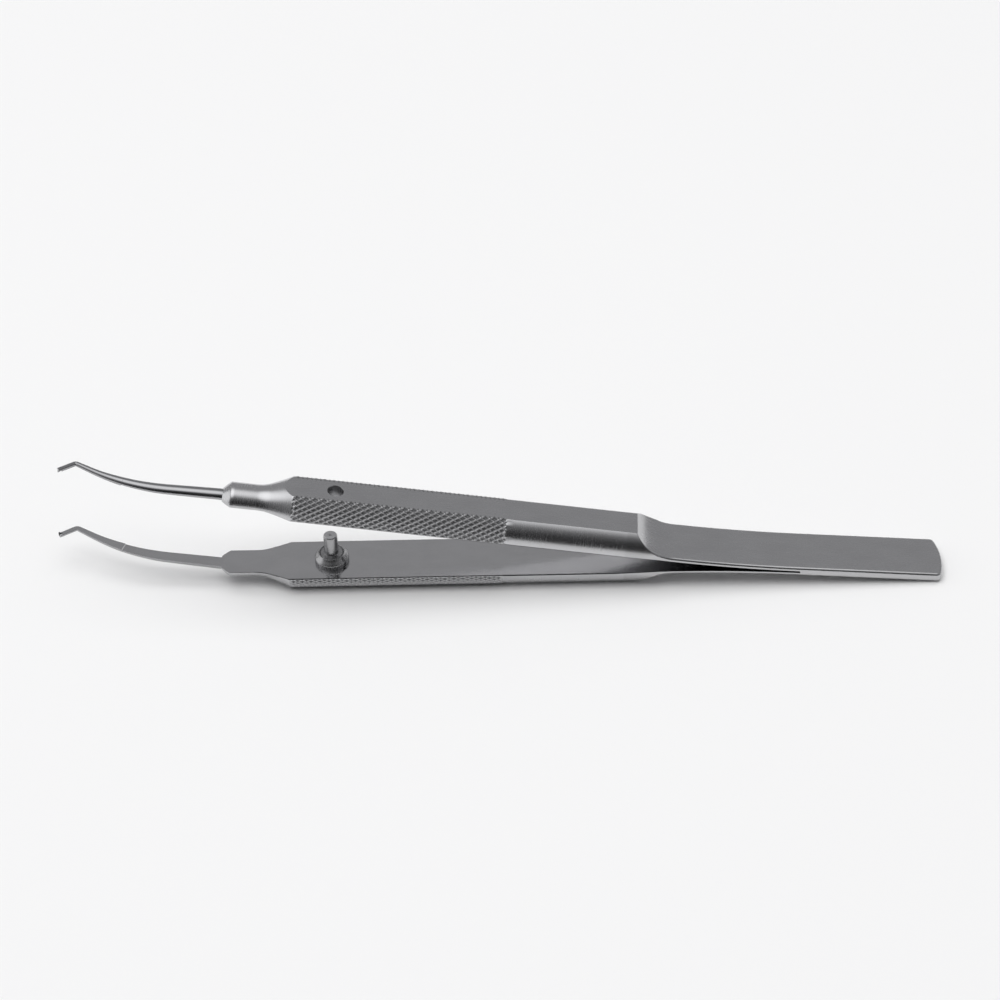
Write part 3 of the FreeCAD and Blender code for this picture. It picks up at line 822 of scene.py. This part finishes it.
def tail(name):
    """Flat plate with rounded edges; its plan outline has a curved end."""
    half = LEAF_HALF
    centre_x = TAIL_LENGTH - TAIL_END_RADIUS
    outline = [(0.0, -half)]

    def end_x(y):
        return centre_x + math.sqrt(TAIL_END_RADIUS ** 2 - (y + TAIL_END_SHIFT) ** 2)

    def rounded_corner(side):
        corner = np.array([end_x(side * half), side * half])
        inner = side * (half - 0.8)
        inward = np.array([end_x(inner), inner]) - corner
        made, _ = rounded(corner, np.array([-1.0, 0.0]), inward, TAIL_CORNER, 12)
        return made

    first = rounded_corner(-1)
    last = rounded_corner(1)[::-1]
    outline += [tuple(p) for p in first]
    for y in np.linspace(first[-1][1], last[0][1], 26)[1:-1]:
        outline.append((end_x(y), y))
    outline += [tuple(p) for p in last]
    outline.append((0.0, half))
    straight = HALF_SLOT + LEAF_THICKNESS - TAIL_EDGE
    levels = []
    for angle in np.linspace(0, math.pi / 2, 10):
        levels.append((TAIL_EDGE * (1 - math.cos(angle)), straight + TAIL_EDGE * math.sin(angle)))
    levels = [(inset, -z) for inset, z in reversed(levels)] + levels
    outline = np.array(outline)
    normals = []
    for k in range(len(outline)):
        before = outline[max(k - 1, 0)]
        after = outline[min(k + 1, len(outline) - 1)]
        step = after - before
        if k in (0, len(outline) - 1):
            step = np.array([1.0, 0.0]) * (1 if k == 0 else -1)
        normals.append(np.array([step[1], -step[0]]) / np.linalg.norm(step))
    points, faces, uvs, groups = [], [], [], []
    rings = []
    for inset, z in levels:
        start = len(points)
        for spot, normal in zip(outline, normals):
            x, y = spot - normal * inset
            points.append((x, y, z))
        rings.append(list(range(start, len(points))))
    gaps = np.linalg.norm(np.diff(outline, axis=0), axis=1)
    along = np.concatenate([[0], np.cumsum(gaps)]) + TAIL_START
    for k, (a, b) in enumerate(zip(rings, rings[1:])):
        low, high = levels[k][1], levels[k + 1][1]
        for c in range(len(outline) - 1):
            near, far = along[c], along[c + 1]
            faces.append([a[c], a[c + 1], b[c + 1], b[c]])
            uvs.append([(near, low), (far, low), (far, high), (near, high)])
            groups.append((0, True))
    for ring in (rings[0][::-1], rings[-1]):
        faces.append(ring)
        uvs.append([(points[i][0] + TAIL_START, points[i][1] + OUTER_SHIFT) for i in ring])
        groups.append((1, False))
    faces.append([r[0] for r in rings] + [r[-1] for r in reversed(rings)])
    uvs.append([(0, 0)] * len(faces[-1]))
    groups.append((0, False))
    thing = make_object(name, points, faces, uvs, groups, TAIL, [ground_edge, satin_flat])
    sharpen(thing, 40)
    return thing


plate = tail("tail_plate")
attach(plate, "tail")
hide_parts("tail")

# guide pin with its collar, as (radius, height), the collar's above its seat
seat = OUTER_Z - INNER_Z
top = seat + 4.1
pin_foot = ((0, 0.005), (PIN_RADIUS - 0.06, 0.005), (PIN_RADIUS, 0.06), (PIN_RADIUS, seat))
collar = (
    (2.07, 0.0),
    (2.12, 0.05),
    (2.12, 0.5),
    (2.105, 0.6),
    (2.06, 0.68),
    (1.98, 0.78),
    (1.85, 0.92),
    (1.72, 1.06),
    (1.64, 1.17),
    (1.6, 1.26),
    (1.575, 1.29),
    (1.55, 1.3),
    (1.52, 1.295),
    (1.44, 1.165),
    (1.36, 1.275),
    (1.3, 1.28),
    (1.0, 1.27),
    (0.93, 1.28),
    (0.88, 1.3),
    (0.87, 1.36),
)
pin_head = (
    (0.87, top - 0.2),
    (0.85, top - 0.12),
    (0.79, top - 0.03),
    (0.73, top),
    (0.21, top),
    (0.18, top - 0.02),
    (0, top - 0.12),
)
pin_profile = [*pin_foot, *((radius, seat + height) for radius, height in collar), *pin_head]
pin_steels = [pin_steel, pin_top_highlight]
pin = revolve("guide_pin_turned", pin_profile, Matrix.Identity(4), pin_steels, bright=top - 0.05)
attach(pin, "lower_arm")
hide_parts("guide_pin")

# floor, lights and camera
floor_mesh = bpy.data.meshes.new("floor")
floor_mesh.from_pydata([(-3, -3, 0), (3, -3, 0), (3, 3, 0), (-3, 3, 0)], [], [[0, 1, 2, 3]])
floor = bpy.data.objects.new("floor", floor_mesh)
bpy.context.scene.collection.objects.link(floor)
pale = bpy.data.materials.new("pale_floor")
pale.use_nodes = True
pale_shader = pale.node_tree.nodes["Principled BSDF"]
pale_shader.inputs["Roughness"].default_value = 0.9
pale_shader.inputs["Base Color"].default_value = (0.87, 0.87, 0.87, 1)
pale_shader.inputs["Specular IOR Level"].default_value = 0.1
floor_mesh.materials.append(pale)

world = bpy.data.worlds.new("studio")
bpy.context.scene.world = world
world.use_nodes = True
nodes = world.node_tree.nodes
links = world.node_tree.links
coordinate = nodes.new("ShaderNodeTexCoord")
split = nodes.new("ShaderNodeSeparateXYZ")
links.new(coordinate.outputs["Generated"], split.inputs["Vector"])
share = nodes.new("ShaderNodeMapRange")
share.inputs["From Min"].default_value = 1.0
share.inputs["From Max"].default_value = -1.0
links.new(split.outputs["Y"], share.inputs["Value"])
ramp_node = nodes.new("ShaderNodeValToRGB")
links.new(share.outputs["Result"], ramp_node.inputs["Fac"])
# brightness of the room from its far side to its near side
room = (
    (0.0, 0.38),
    (0.3, 0.35),
    (0.6, 0.33),
    (0.72, 0.25),
    (0.82, 0.15),
    (0.87, 0.1),
    (0.93, 0.04),
    (1.0, 0.01),
)
while len(ramp_node.color_ramp.elements) < len(room):
    ramp_node.color_ramp.elements.new(0.5)
for element, (position, level) in zip(ramp_node.color_ramp.elements, room):
    element.position = position
    element.color = (level, level, level * 1.02, 1)
# a broad soft light overhead, a little to the left
glow_aim = nodes.new("ShaderNodeVectorMath")
glow_aim.operation = "DOT_PRODUCT"
links.new(coordinate.outputs["Generated"], glow_aim.inputs[0])
glow_aim.inputs[1].default_value = Vector((-0.22, -0.07, 0.97)).normalized()
glow = nodes.new("ShaderNodeMapRange")
glow.interpolation_type = "SMOOTHSTEP"
glow.inputs["From Min"].default_value = math.cos(math.radians(39))
glow.inputs["From Max"].default_value = math.cos(math.radians(8))
glow.inputs["To Min"].default_value = 0.0
glow.inputs["To Max"].default_value = 1.25
links.new(glow_aim.outputs["Value"], glow.inputs["Value"])
lit = nodes.new("ShaderNodeMix")
lit.data_type = "RGBA"
lit.blend_type = "ADD"
lit.inputs["Factor"].default_value = 1.0
links.new(ramp_node.outputs["Color"], lit.inputs["A"])
links.new(glow.outputs["Result"], lit.inputs["B"])
background = nodes["Background"]
links.new(lit.outputs["Result"], background.inputs["Color"])
background.inputs["Strength"].default_value = 1.0


def softbox(name, place, target, size, power):
    light = bpy.data.lights.new(name, "AREA")
    light.shape = "RECTANGLE"
    light.size, light.size_y = size
    light.energy = power
    lamp = bpy.data.objects.new(name, light)
    lamp.location = place
    aim = Vector(target) - Vector(place)
    lamp.rotation_mode = "QUATERNION"
    lamp.rotation_quaternion = aim.to_track_quat("-Z", "Y")
    bpy.context.scene.collection.objects.link(lamp)
    return lamp


softbox("left_panel", (-0.6, 0.05, 0.2), (0.0, 0, 0.02), (0.5, 0.4), 0.5)
fill = softbox("floor_fill", (0.03, 0.04, 0.9), (0.03, 0.02, 0), (1.2, 1.2), 6.1)
fill.visible_glossy = False

TARGET = Vector((21.0, 0.0, 5.0)) * MM
AZIMUTH = math.radians(2.5573)
ELEVATION = math.radians(41.0158)
ROLL = math.radians(2.7874)
DISTANCE = 543.01
SENSOR = 36
PIXELS_PER_MM = 8.0729
ahead = Vector((-math.sin(AZIMUTH), math.cos(AZIMUTH), 0))
forward = ahead * math.cos(ELEVATION) - Vector((0, 0, math.sin(ELEVATION)))
level_right = Vector((math.cos(AZIMUTH), math.sin(AZIMUTH), 0))
level_up = level_right.cross(forward)
right = level_right * math.cos(ROLL) - level_up * math.sin(ROLL)
upward = level_right * math.sin(ROLL) + level_up * math.cos(ROLL)
camera_data = bpy.data.cameras.new("camera")
camera_data.sensor_width = SENSOR
camera_data.lens = SENSOR * PIXELS_PER_MM * DISTANCE / 1000
camera_data.shift_x = -0.00023
camera_data.shift_y = 0.04237
camera_data.clip_start = 0.01
camera_data.clip_end = 20
camera = bpy.data.objects.new("camera", camera_data)
bpy.context.scene.collection.objects.link(camera)
axes = Matrix((right, upward, -forward)).transposed().to_4x4()
camera.matrix_world = Matrix.Translation(TARGET - forward * DISTANCE * MM) @ axes
bpy.context.scene.camera = camera
bpy.context.scene.view_settings.view_transform = "Standard"
